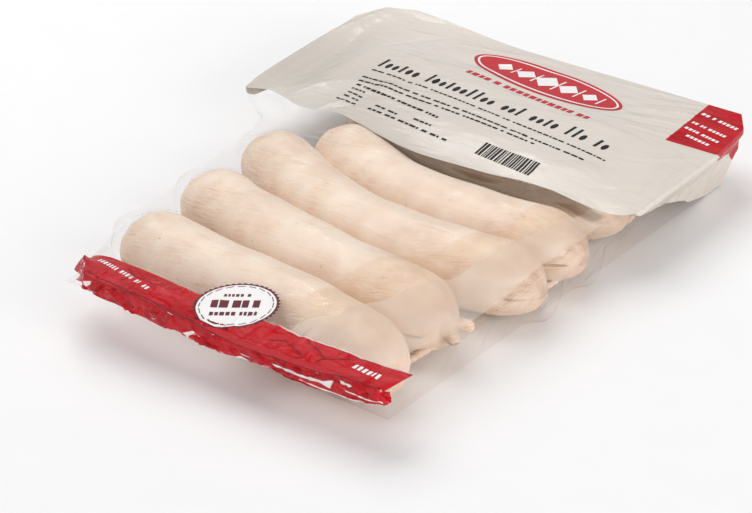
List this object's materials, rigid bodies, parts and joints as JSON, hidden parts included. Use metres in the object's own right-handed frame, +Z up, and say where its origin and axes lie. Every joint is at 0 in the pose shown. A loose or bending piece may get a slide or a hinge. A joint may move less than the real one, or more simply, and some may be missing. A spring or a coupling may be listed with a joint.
{
  "type": "string of sausage links",
  "caption": "String of plump pale sausage links laid side by side in a flat sealed film bag with a clear window, a white header and a red front band with a crimped seal strip.",
  "frame": {"origin": "middle of the pack's footprint, on the table it lies on", "axes": "+X along the links, +Y from the front seal to the header, +Z up"},
  "size_m": [0.2928, 0.3964, 0.0491],
  "materials": {
    "clear_film": "clear glossy film drawn over pale sausage casing",
    "sausage_casing": "moist natural casing, satin",
    "white_print": "film printed white inside, slightly translucent, glossy",
    "red_print": "film printed red inside, glossy"
  },
  "bodies": {
    "root": {"sausage_pack": "clear_film"}
  },
  "joints": []
}
